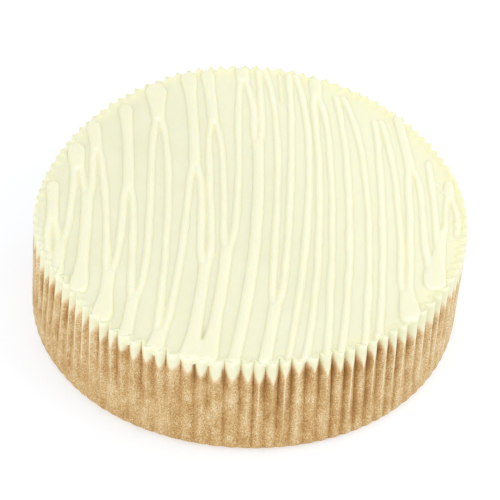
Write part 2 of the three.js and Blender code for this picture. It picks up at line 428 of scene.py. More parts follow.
rim_wave = 0.25 * drift(number / 2.3, 9) + 0.2 * uneven(number, 10) - 0.3
rim_wave -= 0.8 * around(true_angle, 9, 14) + 0.6 * around(true_angle, -170, 15)
rim_wave += (0.5 + 0.3 * uneven(number, 19)) * (2 * fold - 1)
points[:, 2] += rim_wave * smooth_step(CASE_HEIGHT - 8, CASE_HEIGHT, heights)
points[:, :2] -= CENTRE
write_points(paper, points)
face_outwards(paper)
print(f"rim from {rim_wave.min():.1f} to {rim_wave.max():.1f} mm off its height")


# %% Give the paper its thickness
def apply_modifier(piece, kind, **settings):
    """Adds one modifier, sets it and applies it."""
    select_only(piece)
    modifier = piece.modifiers.new(kind.title(), kind)
    for name, value in settings.items():
        setattr(modifier, name, value)
    bpy.ops.object.modifier_apply(modifier=modifier.name)


def finish_piece(piece, angle=50):
    """Brings a piece from millimetres to metres and shades it smooth, but for its sharp edges."""
    write_points(piece, read_points(piece) * MM)
    select_only(piece)
    bpy.ops.object.shade_smooth_by_angle(angle=math.radians(angle))
    print(f"{piece.name}: {sum(len(face.vertices) - 2 for face in piece.data.polygons)} triangles")


paper_material = bpy.data.materials.new("greaseproof_paper")
coated_material = bpy.data.materials.new("icing_coated_paper")
paper.data.materials.append(paper_material)
paper.data.materials.append(coated_material)
inner_side = {"material_offset": 1, "material_offset_rim": 1}
apply_modifier(paper, "SOLIDIFY", thickness=PAPER, offset=-1, use_even_offset=False, **inner_side)
finish_piece(paper)

# %% [markdown]
# ## The cake
#
# The sponge fills the case and takes the print of every flute. It is uncut, so it is solid, and only
# its colour shows, through the paper. It is raised ring by ring like the paper and closed at the top.

# %% Raise the cake
cake_heights = [PAPER + h for h in foot_heights] + list(np.linspace(10, ICING_BOTTOM, 7))
cake = raise_rings("sponge", cake_heights, RIM_RADIUS)
select_ring(cake_heights[-1])
bpy.ops.mesh.edge_face_add()
bpy.ops.object.mode_set(mode="OBJECT")
points = read_points(cake)
heights = points[:, 2]
foot = foot_inset(heights - PAPER, FOOT_ROUND)
points[:, 0], points[:, 1] = wall(even_angles(points), heights, inset=foot + PAPER + 0.1)
points[:, :2] -= CENTRE
write_points(cake, points)
face_outwards(cake)
finish_piece(cake)

# %% [markdown]
# ## The icing
#
# Poured icing finds its own level, then sags a little between bubbles and spatula strokes as it
# sets. The piped lines have to lie on the same surface, so its level is a formula that both use.


# %% The level of the icing
def icing_level(x, y):
    """Height of the set icing's top, with its slow unevenness."""
    waves = 0.10 * np.sin(x / 7.1 + 0.5 * np.sin(y / 23)) + 0.09 * np.sin(y / 11.3 + x / 29 + 1.3)
    swells = 0.12 * np.sin(x / 21 - y / 37 + 0.4) + 0.08 * np.sin(y / 19 - x / 13 + 2.1)
    return ICING_TOP + waves + swells


def painted_light_share(x, y):
    """Painted light: the icing is painted a shade paler towards the back and the right of the cake."""
    return smooth_step(-14, 68, 0.82 * x + 0.57 * y)


section = icing_level(np.linspace(-80, 80, 161), 0)
print(f"the icing's top rises and falls by {np.ptp(section):.2f} mm from left to right")

# %% [markdown]
# ## The body of the icing
#
# Its outline must follow the flutes exactly, so it is made of rings too: up the side from its
# underside, then inwards across the top, closely spaced near the edge, where the flutes fade away
# within a few millimetres. The last ring closes on the middle.

# %% Pour the icing
EDGE_STEPS = [
    0.35, 0.8, 1.3, 1.9, 2.6, 3.5, 4.6, 6, 8, 10.5, 13.5, 17,
    21, 25.5, 30.5, 36, 42, 49, 57, 66, 75, 83, 88,
]

side_heights = [ICING_BOTTOM + PAPER, ICING_BOTTOM + 2, ICING_TOP - 1, ICING_TOP]
icing = raise_rings("poured_icing", side_heights, RIM_RADIUS)
select_ring(ICING_TOP)
radius = RIM_RADIUS
for step in EDGE_STEPS:
    smaller = (RIM_RADIUS - step) / radius
    radius = RIM_RADIUS - step
    bpy.ops.mesh.extrude_region_move()
    bpy.ops.transform.resize(value=(smaller, smaller, 1))
bpy.ops.mesh.extrude_region_move()
bpy.ops.mesh.merge(type="CENTER")
bpy.ops.object.mode_set(mode="OBJECT")
print(len(EDGE_STEPS), "rings across the top,", len(icing.data.vertices), "points")

# %% [markdown]
# ## The edge of the icing
#
# The icing climbs where it wets the paper, more in the outer folds than between them, and more at the
# near left. At the right it is smeared flat over the rim, and at the left it dried as an uneven
# crust: there the flutes don't show in it.

# %% Fit the icing to the flutes
CRUST_TURN = -170
SMEAR_TURN = 9

points = read_points(icing)
heights = points[:, 2].copy()
inwards = RIM_RADIUS - np.hypot(points[:, 0], points[:, 1])
on_top = heights > ICING_TOP - 0.01
smear = around(even_angles(points), SMEAR_TURN, 15)
crust = around(even_angles(points), CRUST_TURN, 16)
fading = 1 - smooth_step(0.5, 5.5, inwards)
fading *= np.where(on_top, 1 - 0.85 * np.maximum(smear, crust), 1)
x, y = wall(even_angles(points), heights, inset=PAPER * 0.7, fading=fading)
shrink = 1 - inwards / RIM_RADIUS
points[:, 0], points[:, 1] = x * shrink, y * shrink
print(f"the icing is {np.ptp(points[:, 0]):.1f} mm wide")

# %% Let the icing climb the paper
SPILL_TURN = -155
CREEP = 0.7
FOLD_CREEP = 0.7

far_side = 0.5 - 0.5 * np.cos(even_angles(points) - math.radians(SPILL_TURN))
spilling = np.maximum(1 - 2 * far_side, np.maximum(0.9 * smear, crust))
_, number, across, _ = fluted(even_angles(points))
in_crest = crest_height(number, across, 1.0)
creep = (CREEP + 0.35 * spilling) * (1 - smooth_step(0, 5, inwards))
creep += FOLD_CREEP * in_crest * (1 - smooth_step(0, 2.8, inwards))
arc = even_angles(points) * RIM_RADIUS
lumps = drift(arc / 3.4, 31) * drift(inwards / 1.6 + arc / 5, 33) + 0.7 * drift(arc / 2.1 + inwards / 1.4, 32)
creep += (0.17 * np.clip(spilling, 0.2, 1) + 0.4 * crust) * lumps * (1 - smooth_step(1, 6, inwards))
points[:, 2] = np.where(on_top, icing_level(points[:, 0], points[:, 1]) + creep, heights)
print(f"it climbs up to {creep.max():.1f} mm at the edge")

# %% [markdown]
# ## What the icing's colour needs
#
# Three numbers go with the points for the material: how bare the icing is in three small spots, each
# given by its place, half width and half length, how much painted light makes it paler, and how much
# warm painted shade lies along the far rim.

# %% Keep the colour numbers
BARE_SPOTS = [(-80.6, -18.8, 0.9, 2.2), (78.7, -9.0, 1.0, 2.4), (-15.9, -72.5, 0.9, 1.8)]
RIM_SHADE_WIDTH = 10

# Painted shade: a warm band along the far rim, where the icing climbs the paper and lies in shade.
far_rim_shade = (1 - smooth_step(0, RIM_SHADE_WIDTH, inwards + 1.5 * uneven(number // 3, 14))) * far_side
thin = np.zeros(len(heights))
for spot_x, spot_y, half_width, half_length in BARE_SPOTS:
    sideways = ((points[:, 0] - spot_x) / half_width) ** 2
    lengthways = ((points[:, 1] - spot_y) / half_length) ** 2
    thin += np.exp(-sideways - lengthways)
store(icing, "thin", thin)
# Painted light: how much paler the icing is painted towards the back right.
store(icing, "pale", painted_light_share(points[:, 0], points[:, 1]))
store(icing, "warm_rim_shade", np.clip(far_rim_shade, 0, 1))
points[:, :2] -= CENTRE
write_points(icing, points)
face_outwards(icing)
finish_piece(icing)

# %% [markdown]
# ## The piped lines
#
# The baker swings a piping nozzle to and fro, and the line of icing piles up wherever it turns back.
# A curve with a round bevel is the natural start: one spline for each swing, its radius growing
# towards the turn. Each row below is one turn: where the nozzle turns (x, y), how wide the icing
# piles up there, where the two lines that leave the turn part (x, y), and how far the next swing
# bows towards +X at a quarter and at three quarters of its way. A loose end is 3 mm wide.

# %% The turns of the nozzle
LINES = {
    "piped_line_1": [[
        (-82.5, -41.5, 3, -82.5, -41.5, 0.2, 0.2),
        (-83, 8, 5, -80.5, -18.5, 0, 0),
        (-77.8, -46.5, 4.5, -76.5, -20.5, 0.5, 0.5),
        (-75.5, 31, 7.5, -73, 14, 0, 0),
        (-66.5, -50, 7.2, -68.5, 9, 0, 0),
        (-69.5, 47, 6, -66, 26, 0.5, 0.8),
        (-56, -65, 8.2, -55, -35.5, 0.5, 0.5),
        (-56.5, 59, 6, -51, 3, 0.3, 0.3),
        (-46.5, -77.5, 5.5, -44, -49.5, 1.4, 0.1),
        (-44, 72.5, 9.5, -41, 47.5, 2.5, 1.8),
        (-34.3, -82, 7, -32, -67, 0.9, 0.9),
        (-30, 82.5, 7, -24, 19, 0.7, 0.2),
        (-21, -85, 8, -17, -30, 0.3, -0.3),
        (-21.5, 85, 6, -17, 48, 1.1, 0.9),
        (-14, -85.5, 8, -8.5, -19, 1.3, 0.4),
        (-6, 88.5, 6, -5, 78, 1, 1),
        (-4, -87, 5, 2, 46, 0.4, 0.4),
        (2.5, 91, 4, 2.5, 90, 4.3, 2.4),
        (7.8, -86.5, 5, 12, -50.5, 1.9, 1.9),
        (16.5, 88.5, 4, 16.5, 87.5, 6.5, 4.7),
        (16.5, -86, 3, 16.5, -86, 0, 0),
    ]],
    "piped_line_2": [[
        (22.9, -86.6, 3, 22.9, -86.6, 3.6, 3.5),
        (27, 83.5, 5, 28, 68, 3.3, 2.3),
        (31.4, -84, 3, 31.4, -84, 0, 0),
    ]],
    "piped_line_3": [[
        (36.7, -81.8, 3, 36.7, -81.8, 3.9, 4.2),
        (37.5, 76, 4, 37.5, 74, 6.3, 4.4),
        (46, -77.3, 3, 46, -77.3, 0, 0),
    ]],
    "piped_line_4": [
        [
            (51.3, -74.3, 3, 51.3, -74.3, 2.3, 2.3),
            (54.5, 60, 4, 54.5, 58, 2.7, 2.3),
            (64.5, -59, 8.5, 63, -40.5, 0.5, 0.5),
            (63.5, 59, 4, 68.5, 22.5, 0.6, -0.4),
            (75, -40, 9, 74.8, -27, 0.6, 0.6),
            (75.5, 34, 3, 75.5, 34, 0, 0),
        ],
        [
            (76, -34, 4, 78, -14, 0.4, 0.4),
            (83.6, 18, 4, 83.6, 4, 1.0, 1.0),
            (84.5, -14, 3, 84.5, -14, 0, 0),
        ],
    ],
    "piped_line_5": [[(10.8, 89, 3, 10.8, 89, 0, 0), (12.7, 66, 3, 12.7, 66, 0, 0)]],
}
print({name: sum(len(rows) for rows in paths) for name, paths in LINES.items()}, "turns and ends")

# %% [markdown]
# ## Beads, bridges and crust
#
# Some piles run together, a few beads of icing sit beside a line, and small lumps have dried on the
# left rim. Each is a short stroke, given by its points and widths; a formula lays out the lumps. Two
# of the lines are thinner than the others.

# %% Beads, bridges and crust
LUMPS = 20


def crust_lumps():
    """Small lumps of icing that dried on the rim at the left, each lying its own way."""
    found = []
    for k in range(LUMPS):
        angle = math.radians(166 + 1.85 * k + 1.5 * uneven(k, 51))
        middle = (88.6 + 1.9 * uneven(k, 52)) * np.array([math.cos(angle), math.sin(angle)])
        lying = angle + 1.3 * uneven(k, 53)
        reach = (0.9 + 0.6 * uneven(k, 55)) * np.array([math.cos(lying), math.sin(lying)])
        width = 2.9 + 0.6 * uneven(k, 54)
        found.append([(*(middle - reach), width), (*(middle + reach), width * 1.1)])
    return found


EXTRAS = {
    "piped_line_1": [
        [(-21, -82.5, 5), (-14, -84.5, 5)], [(-17.5, -76, 4), (-17, -84, 5)],
        [(-78.0, -47.6, 3.8), (-81.8, -50.8, 5.0)],
        *crust_lumps(),
    ],
    "piped_line_4": [
        [(80.4, -9, 4.0), (78.3, -18.7, 5.4), (76.7, -29.6, 6.8), (75.8, -36.5, 9)],
        [(79.1, 19.0, 3.4), (79.4, 18.0, 3.4)], [(80.9, 14.0, 3.4), (81.2, 13.0, 3.4)],
        [(85.6, -5.0, 3.4), (85.5, -6.2, 3.2)], [(85.6, -10.4, 3.4), (85.6, -11.6, 3.2)],
    ],
}
FAINT = {("piped_line_4", 1): 0.9, ("piped_line_5", 0): 0.75}
print({name: len(found) for name, found in EXTRAS.items()}, "short strokes")

# %% [markdown]
# ## One turn of the nozzle
#
# Each row becomes what the strokes need: the tip and the parting, both kept within the case, and the
# direction of the pile. A loose end has no pile.

# %% One turn of the nozzle
LINE_WIDTH = 4.0
MERGED_WIDTH = 5.3
BALL_EXTRA = 0.9
LOOSE_END = 3
ARM_REACH = 600
STEP = 1.0


def keep_inside(point, width):
    """At the far side the lines stop short of the paper; at the near side they may run over it."""
    angle = math.atan2(point[1], point[0])
    over = 3.0 if point[1] < -30 else 0.6
    limit = rim_outline(angle) + over - 0.5 * width
    return point * min(1, limit / np.linalg.norm(point))


def read_turn(row):
    x, y, width, part_x, part_y, bow_first, bow_last = row
    width += BALL_EXTRA if width > LOOSE_END else 0
    tip = keep_inside(np.array([x, y], float), width)
    parting = keep_inside(np.array([part_x, part_y], float), LINE_WIDTH)
    length = np.linalg.norm(parting - tip)
    piled = length > LINE_WIDTH
    along = (parting - tip) / length if piled else np.array([0.0, -math.copysign(1, y)])
    aside = np.array([abs(along[1]), -along[0] * math.copysign(1, along[1])])
    return {
        "tip": tip, "parting": parting, "width": width, "length": length, "piled": piled,
        "along": along, "aside": aside, "bows": (bow_first, bow_last), "spread": 1.0 if piled else 0.75,
    }


example = read_turn(LINES["piped_line_1"][0][3])
print(f"the fourth turn is {example['width']:.1f} mm wide")

# %% [markdown]
# ## The pile at a turn
#
# At a turn the nozzle slows down, so the icing piles up as a ball, and the two lines run together for
# a while before they part. The pile is one thick stroke, and each line hugs one flank of it.


# %% The pile at a turn
def pile_half(turn, along):
    """Half the width of the pile: a ball at the turn, a neck, and two lines side by side at the parting."""
    ball = turn["width"] / 2
    neck = min(MERGED_WIDTH / 2, ball)
    past = np.maximum(along, 0) / (1.2 * turn["width"])
    swollen = neck + (ball - neck) * np.exp(-(past**1.5))
    parted = np.exp(-np.maximum(turn["length"] - along, 0) / 4)
    return swollen + (LINE_WIDTH - swollen) * parted


def pile_line(turn, along):
    """The middle of the pile, which bows towards +X: an arc as large as the baker's arm makes."""
    share = np.clip(along / turn["length"], 0, 1)
    bow = turn["length"] ** 2 / (8 * ARM_REACH) * 4 * share * (1 - share)
    middle = turn["tip"] + along[:, None] * turn["along"]
    return middle + np.column_stack([bow, np.zeros(len(bow))])


def in_pile(turn, side):
    """The line on its way through the pile, from the turn to the parting, along one flank of it."""
    along = np.arange(0.2 * turn["width"], turn["length"] + 0.01, STEP)
    half = pile_half(turn, along)
    radius = np.minimum(LINE_WIDTH / 2, 0.8 * half)
    return pile_line(turn, along) + (side * (half - radius))[:, None] * turn["aside"], radius


def pile_stroke(turn, seed):
    """What fills the pile between its two lines: a ball at the turn, thinning out at the parting."""
    ball = turn["width"] / 2
    round_end = -ball * np.cos(np.linspace(0.2, np.pi / 2, 7))
    along = np.concatenate([round_end, np.arange(0.8, turn["length"], STEP)])
    radius = pile_half(turn, along)
    radius *= smooth_step(0.2, min(8.0, 0.6 * turn["length"]), turn["length"] - along)
    radius *= 1 + 0.04 * drift(along / 5, seed)
    radius = np.where(along < 0, np.sqrt(np.maximum(ball**2 - along**2, 0.01)), radius + 0.12)
    return pile_line(turn, along), radius


halves = pile_half(example, np.array([0, example["length"]]))
print("its pile is", (2 * halves).round(1), "mm wide at its two ends")

# %% [markdown]
# ## The swing between two turns
#
# A swing is a shallow bow from one parting to the next. The baker's hand makes it wander a little,
# and its width changes with the pressure on the bag.

# %% The swing between two turns
ROUNDING = 12


def swing(start, end, bows):
    """The way from one parting to the next, through its two bows."""
    t = np.linspace(0, 1, max(4, int(np.linalg.norm(end - start) / STEP)))
    shape = ((4 * t * (1 - t)) / 0.75) ** 0.8
    bow = shape * (bows[0] + (bows[1] - bows[0]) * (2 * t - 0.5))
    return start + t[:, None] * (end - start) + np.column_stack([bow, np.zeros(len(t))])


def swing_stroke(start, end, seed):
    """The line between two turns, with its way through the pile at each end."""
    first = start["parting"] + start["aside"] * LINE_WIDTH / 2 * start["spread"]
    last = end["parting"] - end["aside"] * LINE_WIDTH / 2 * end["spread"]
    path = swing(first, last, start["bows"])
    radius = np.full(len(path), LINE_WIDTH / 2)
    if start["piled"]:
        into, thin = in_pile(start, 1)
        path = np.vstack([into[:-1], path])
        radius = np.concatenate([thin[:-1], radius])
    if end["piled"]:
        into, thin = in_pile(end, -1)
        path = np.vstack([path, into[-2::-1]])
        radius = np.concatenate([radius, thin[-2::-1]])
    place = np.arange(len(path)) * STEP
    for _ in range(ROUNDING):
        path[1:-1] = 0.25 * path[:-2] + 0.5 * path[1:-1] + 0.25 * path[2:]
    path[:, 0] += 0.15 * drift(place / 13, seed) * np.minimum(1, place / 10)
    radius *= 1 + 0.07 * drift(place / 11, seed + 1) + 0.04 * drift(place / 3.7, seed + 2)
    for turn, from_end in ((start, place), (end, place[::-1])):
        if turn["width"] <= LOOSE_END:
            radius *= np.sqrt(np.clip((from_end + 0.3) / 3, 0, 1))
    return path, radius


bowed = swing(np.array([0.0, -80.0]), np.array([0.0, 80.0]), (1.0, 1.0))
print(f"a swing of 160 mm bows {bowed[:, 0].max():.1f} mm")


# %% Gather the strokes
def extra_stroke(rows):
    """A bridge between two piles, or a bead on a line, given point by point."""
    rows = np.array(rows, float)
    t = np.linspace(0, len(rows) - 1, 9)
    x, y, width = (np.interp(t, np.arange(len(rows)), column) for column in rows.T)
    return np.column_stack([x, y]), width / 2


def line_strokes(rows):
    """All strokes of one line: its swings, then the piles at its turns."""
    turns = [read_turn(row) for row in rows]
    for turn in (turns[0], turns[-1]):
        turn["spread"] *= turn["piled"]
    pairs = enumerate(zip(turns, turns[1:]))
    found = [swing_stroke(start, end, 20 + 3 * i) for i, (start, end) in pairs]
    return found + [pile_stroke(turn, 90 + i) for i, turn in enumerate(turns) if turn["piled"]]


strokes = {}
for line_name, paths in LINES.items():
    strokes[line_name] = [extra_stroke(rows) for rows in EXTRAS.get(line_name, [])]
    for k, rows in enumerate(paths):
        share = FAINT.get((line_name, k), 1)
        strokes[line_name] += [(path, radius * share) for path, radius in line_strokes(rows)]
print({name: len(found) for name, found in strokes.items()}, "strokes")

# %% [markdown]
# ## From splines to icing
#
# Tubes laid over each other still have a hard crease where they cross, and soft icing has none. So
# the tubes of one run are pressed flat below and slumped above, then a voxel Remesh melts them into
# one skin, a Smooth modifier lets the skin settle, and Decimate takes out the points that the flat
# underside doesn't need. Then the line is laid on the icing, following its unevenness. Its flanks
# flow out at the foot, and where it runs over the rim of the paper it is bent down the outside.

# %% The height of soft icing
SLUMP = 1.6
SUNK = 0.45
FULL = 2.5
FLOW = 1.42


def flowed(rise):
    """The height of soft icing that was piped `rise` high: a rounded ridge with a wide soft foot."""
    return FULL * rise**7 / (rise**7 + FLOW**7)


print(f"a line piled {SLUMP} mm high settles at {flowed(SLUMP):.1f} mm")

# %% [markdown]
# ## Over the rim
#
# At the near side the lines run over the fluted rim and a little way down the paper. A Shrinkwrap
# would flatten them, so each point is measured from the bend of the rim, and what lies past it is
# turned down round the bend. It runs thin there, all but one drip.

# %% Lines over the rim
BEND = 0.6
DRIP_TURN = -147.9
RIM_CLEARANCE = 0.35
RIM_TURNS = fluted(ring)[0]
RIM_DISTANCE = np.hypot(*wall(ring, CASE_HEIGHT, fading=0.75))


def past_rim(x, y):
    """How far outside the bend of the fluted rim a point of the plan lies."""
    turn = np.mod(np.arctan2(y, x), 2 * np.pi)
    return np.hypot(x, y) - (np.interp(turn, RIM_TURNS, RIM_DISTANCE, period=2 * np.pi) - BEND)


def lay(points):
    """Lays a line that was made on a flat table onto the icing and over the rim."""
    x, y, rise = points.T
    past = past_rim(x, y)
    near = smooth_step(-5, 0, past)
    ground = icing_level(x, y)
    lifted = ground + near * (CASE_HEIGHT - RIM_CLEARANCE - ground)
    above = np.where(rise > 0, flowed(rise) * (1 - 0.4 * near) * thinned(x, y), rise)
    underside = ground + (lifted - ground) * smooth_step(-0.5, 0.5, past)
    height = np.where(rise > 0, lifted, underside) + above
    turn = np.clip(past / BEND, 0, np.pi / 2)
    out = np.where(past > 0, np.sin(turn) * (BEND + above) - past, 0)
    down = (1 - np.cos(turn)) * (BEND + above) + np.maximum(past - BEND * np.pi / 2, 0)
    reach = 1 + out / np.hypot(x, y)
    return np.column_stack([x * reach, y * reach, height - np.where(past > 0, down, 0)])


def thinned(x, y):
    """What runs over the rim runs thin, all but one drip."""
    drip = around(np.arctan2(y, x), DRIP_TURN, 2.2)
    return 1 - 0.8 * smooth_step(-0.5, 1.6, past_rim(x, y)) * (1 - drip)


print(f"the bend of the rim lies {RIM_DISTANCE.min():.1f} to {RIM_DISTANCE.max():.1f} mm from the middle")

# %% [markdown]
# ## Melt the tubes into one skin
#
# The tubes are curves, turned into meshes. Four numbers go with the points of the skin: its height
# above the icing, how much painted light makes the icing paler there, whether it lies within the rim,
# and how much it faces us, for a painted highlight.


# %% Make the tubes
def add_tubes(name, found):
    deselect_all()
    bpy.ops.curve.primitive_bezier_curve_add()
    tubes = bpy.context.object
    tubes.name = name
    curve = tubes.data
    curve.splines.clear()
    curve.dimensions = "3D"
    curve.bevel_depth = 1
    curve.bevel_resolution = 3
    curve.use_fill_caps = True
    for path, radius in found:
        spline = curve.splines.new("POLY")
        spline.points.add(len(path) - 1)
        rows = np.column_stack([path, np.zeros(len(path)), np.ones(len(path))])
        spline.points.foreach_set("co", rows.ravel())
        spline.points.foreach_set("radius", radius)
    bpy.ops.object.convert(target="MESH")
    return bpy.context.object


print(sum(len(found) for found in strokes.values()), "tubes to make")

# %% Melt them into one skin
KEPT_SHARE = 0.42


def pipe(name, found, voxel):
    piece = add_tubes(name, found)
    points = read_points(piece)
    rise = points[:, 2]
    points[:, 2] = np.where(rise > 0, SLUMP * np.tanh(rise / SLUMP), np.maximum(rise, -SUNK))
    write_points(piece, points)
    apply_modifier(piece, "REMESH", mode="VOXEL", voxel_size=voxel)
    apply_modifier(piece, "SMOOTH", factor=0.5, iterations=5)
    points = read_points(piece)
    flow = flowed(np.maximum(points[:, 2], 0))
    store(piece, "rise", flow * thinned(points[:, 0], points[:, 1]))
    # Painted light: how much paler the icing is painted here.
    store(piece, "pale", painted_light_share(points[:, 0], points[:, 1]))
    store(piece, "on_top", 1 - smooth_step(-3, -0.5, past_rim(points[:, 0], points[:, 1])))
    points = lay(points)
    points[:, :2] -= CENTRE
    write_points(piece, points)
    apply_modifier(piece, "SMOOTH", factor=0.5, iterations=9)
    apply_modifier(piece, "DECIMATE", ratio=KEPT_SHARE)
    finish_piece(piece, angle=80)
    # Upward flanks that face the near side are kept for a painted highlight.
    facing = np.empty(len(piece.data.vertices) * 3)
    piece.data.vertex_normals.foreach_get("vector", facing)
    facing = facing.reshape(-1, 3)
    towards_us = smooth_step(0.15, 0.6, -facing[:, 1])
    store(piece, "near_side_highlight", towards_us * smooth_step(0.3, 0.6, facing[:, 2]))
    return piece


print(f"a skin keeps {KEPT_SHARE:.0%} of its faces")

# %% Pipe the lines
VOXEL = 0.36

piped = {name: pipe(name.replace("line", "icing"), found, VOXEL) for name, found in strokes.items()}

# %% [markdown]
# ## Materials in code
#
# A material is a tree of nodes. Each node could be added and linked by hand, but a cake has a lot of
# layers of colour, so a few helpers add a node with its inputs, turn a colour as seen on screen into
# the linear numbers that a shader wants, and do sums.


# %% Node helpers
def add_node(tree, kind, settings, inputs):
    """Adds a node; an input given as a socket is linked, and any other value is set."""
    made = tree.nodes.new(kind)
    for name, value in settings.items():
        setattr(made, name, value)
    for key, value in inputs.items():
        if isinstance(value, bpy.types.NodeSocket):
            tree.links.new(value, made.inputs[key])
        else:
            made.inputs[key].default_value = value
    return made


def set_inputs(node, values):
    for name, value in values.items():
        node.inputs[name].default_value = value


def linear(red, green, blue):
    """A colour as seen on screen, from 0 to 255, as the linear numbers that a shader wants."""
    shares = [value / 255 for value in (red, green, blue)]
    return [s / 12.92 if s <= 0.04045 else ((s + 0.055) / 1.055) ** 2.4 for s in shares] + [1.0]


def grey(value):
    return (value, value, value, 1)


def calculate(tree, operation, first, second):
    return add_node(tree, "ShaderNodeMath", {"operation": operation}, {0: first, 1: second}).outputs[0]


print("ivory as a shader wants it:", [round(value, 2) for value in linear(240, 240, 212)])

# %% [markdown]
# ## Finishes
#
# All the surfaces share one thing: a fine, slightly irregular mottle, seen as fibres in the
# paper, crumb in the cake and sugar in the icing. It is a node group, built once, with its scale,
# stretch and strength as inputs, and each material places it with its own values.


# %% The mottle
def build_mottle():
    group = bpy.data.node_groups.new("mottle", "ShaderNodeTree")
    for name, default in (("Scale", 1000.0), ("Stretch", 1.0), ("Strength", 1.0)):
        socket = group.interface.new_socket(name, in_out="INPUT", socket_type="NodeSocketFloat")
        socket.default_value = default
    group.interface.new_socket("Value", in_out="OUTPUT", socket_type="NodeSocketFloat")
    source = group.nodes.new("NodeGroupInput").outputs
    target = group.nodes.new("NodeGroupOutput")
    place = group.nodes.new("ShaderNodeTexCoord").outputs["Object"]
    stretch = {"X": 1.0, "Y": 1.0, "Z": source["Stretch"]}
    squeeze = add_node(group, "ShaderNodeCombineXYZ", {}, stretch).outputs[0]
    by_parts = {"operation": "MULTIPLY"}
    scaled = add_node(group, "ShaderNodeVectorMath", by_parts, {0: place, 1: squeeze}).outputs[0]
    grain = {"Vector": scaled, "Scale": source["Scale"], "Detail": 4.0, "Roughness": 0.65}
    noise = add_node(group, "ShaderNodeTexNoise", {}, grain)
    centred = calculate(group, "SUBTRACT", noise.outputs[0], 0.5)
    group.links.new(calculate(group, "MULTIPLY", centred, source["Strength"]), target.inputs[0])
    return group


MOTTLE = build_mottle()


def mottle(tree, scale, strength, stretch=1.0):
    values = {"Scale": scale, "Stretch": stretch, "Strength": strength}
    return add_node(tree, "ShaderNodeGroup", {"node_tree": MOTTLE}, values).outputs[0]


print("node group", MOTTLE.name, "ready")


# %% Layers of colour
def start_material(material):
    material.use_nodes = True
    return material.node_tree, material.node_tree.nodes["Principled BSDF"]


def read(tree, name):
    """A number kept at the points of a piece."""
    return add_node(tree, "ShaderNodeAttribute", {"attribute_name": name}, {}).outputs["Fac"]


def ramp(tree, factor, stops):
    made = add_node(tree, "ShaderNodeValToRGB", {}, {"Fac": factor})
    elements = made.color_ramp.elements
    while len(elements) < len(stops):
        elements.new(0.5)
    for element, (position, colour) in zip(elements, stops):
        element.position = position
        element.color = colour
    return made.outputs[0]


def mix(tree, factor, first, second):
    colours = {0: factor, 6: first, 7: second}
    return add_node(tree, "ShaderNodeMix", {"data_type": "RGBA"}, colours).outputs[2]


def add(tree, *values):
    total = values[0]
    for value in values[1:]:
        total = calculate(tree, "ADD", total, value)
    return total


def times(tree, value, by):
    return calculate(tree, "MULTIPLY", value, by)


def bump(tree, height, distance):
    return add_node(tree, "ShaderNodeBump", {}, {"Distance": distance, "Height": height}).outputs[0]


print(len(bpy.data.materials), "materials wait for their colours")

# %% [markdown]
# ## Paper
#
# Greaseproof paper is milky. Where it lies against the cake, in the valleys, it shows the brown
# crumb, deepened by painted shade, and along the crests, where it stands off, it is paler, with a
# painted highlight on each crease. Painted light makes the sides and the right of the wall paler. The
# tongues of icing show through ivory, with a peach edge where the icing thins out, and the top of the
# rim is brighter, partly icing and partly painted highlight. Over all of it lies the speckle of the fibres.
# The inner side shows only at the rim, where it is smeared with icing, so it is plain ivory.

# %% Paint the paper
PALE_PAPER = 0.62

tree, shader = start_material(paper_material)
streaks = mottle(tree, 420.0, 1.0, 0.12)
blotches = mottle(tree, 150.0, 1.1, 0.6)
speckle = mottle(tree, 2100.0, 1.0)
# The painted shade and painted light kept at the points darken or pale the paper here.
depth = times(tree, read(tree, "shade"), -0.62)
mottled = add(tree, depth, times(tree, streaks, 0.6), times(tree, blotches, 1.0), times(tree, speckle, 3.1))
paleness = add(tree, mottled, PALE_PAPER)
kraft = ramp(tree, paleness, [
    (0.0, linear(158, 113, 58)), (0.3, linear(184, 142, 81)), (0.6, linear(208, 173, 116)),
    (0.8, linear(219, 193, 145)), (1.0, linear(232, 216, 182)),
])
ragged = add(tree, read(tree, "tongue"), times(tree, speckle, 0.9), times(tree, streaks, 0.9))
edge = add(tree, times(tree, ragged, 0.5), 0.5)
covered = ramp(tree, edge, [(0.1, grey(0)), (0.5, grey(0.55)), (0.75, grey(1))])
ivory = ramp(tree, edge, [
    (0.25, linear(226, 188, 142)), (0.65, linear(234, 218, 178)), (1.0, linear(235, 234, 201)),
])
# The top of the rim: partly icing on the paper, partly a painted highlight.
with_rim_coat_highlight = mix(tree, read(tree, "rim_coat_highlight"), ivory, linear(249, 249, 222))
painted = mix(tree, covered, kraft, with_rim_coat_highlight)
# A pale line along each crease: partly paper standing off the crumb, partly a painted highlight.
crease_paleness_and_highlight = read(tree, "crease_paleness_and_highlight")
creased = mix(tree, times(tree, crease_paleness_and_highlight, crease_paleness_and_highlight), painted, linear(242, 232, 196))
creased = mix(tree, read(tree, "slit"), creased, linear(164, 120, 68))
tree.links.new(creased, shader.inputs["Base Color"])
tree.links.new(bump(tree, add(tree, speckle, streaks), 0.00004), shader.inputs["Normal"])
set_inputs(shader, {"Roughness": 0.62, "Specular IOR Level": 0.3})
print(len(tree.nodes), "nodes in", paper_material.name)

# %% Paint the inner side of the paper
tree, shader = start_material(coated_material)
coat_tone = add(tree, mottle(tree, 300.0, 1.2), 0.5)
coat_colour = ramp(tree, coat_tone, [(0.2, linear(243, 241, 208)), (0.8, linear(247, 246, 216))])
tree.links.new(coat_colour, shader.inputs["Base Color"])
tree.links.new(bump(tree, coat_tone, 0.0001), shader.inputs["Normal"])
set_inputs(shader, {"Roughness": 0.5})
print(len(tree.nodes), "nodes in", coated_material.name)

# %% [markdown]
# ## Icing
#
# Set white chocolate icing is satin and almost flat in colour, so it needs very little: a slow drift
# of tone, a trace of grain and a little light scattered inside it. The numbers kept at its points
# make it paler towards the back right with painted light, warmer along the far rim with painted
# shade, and tan in the three bare spots.


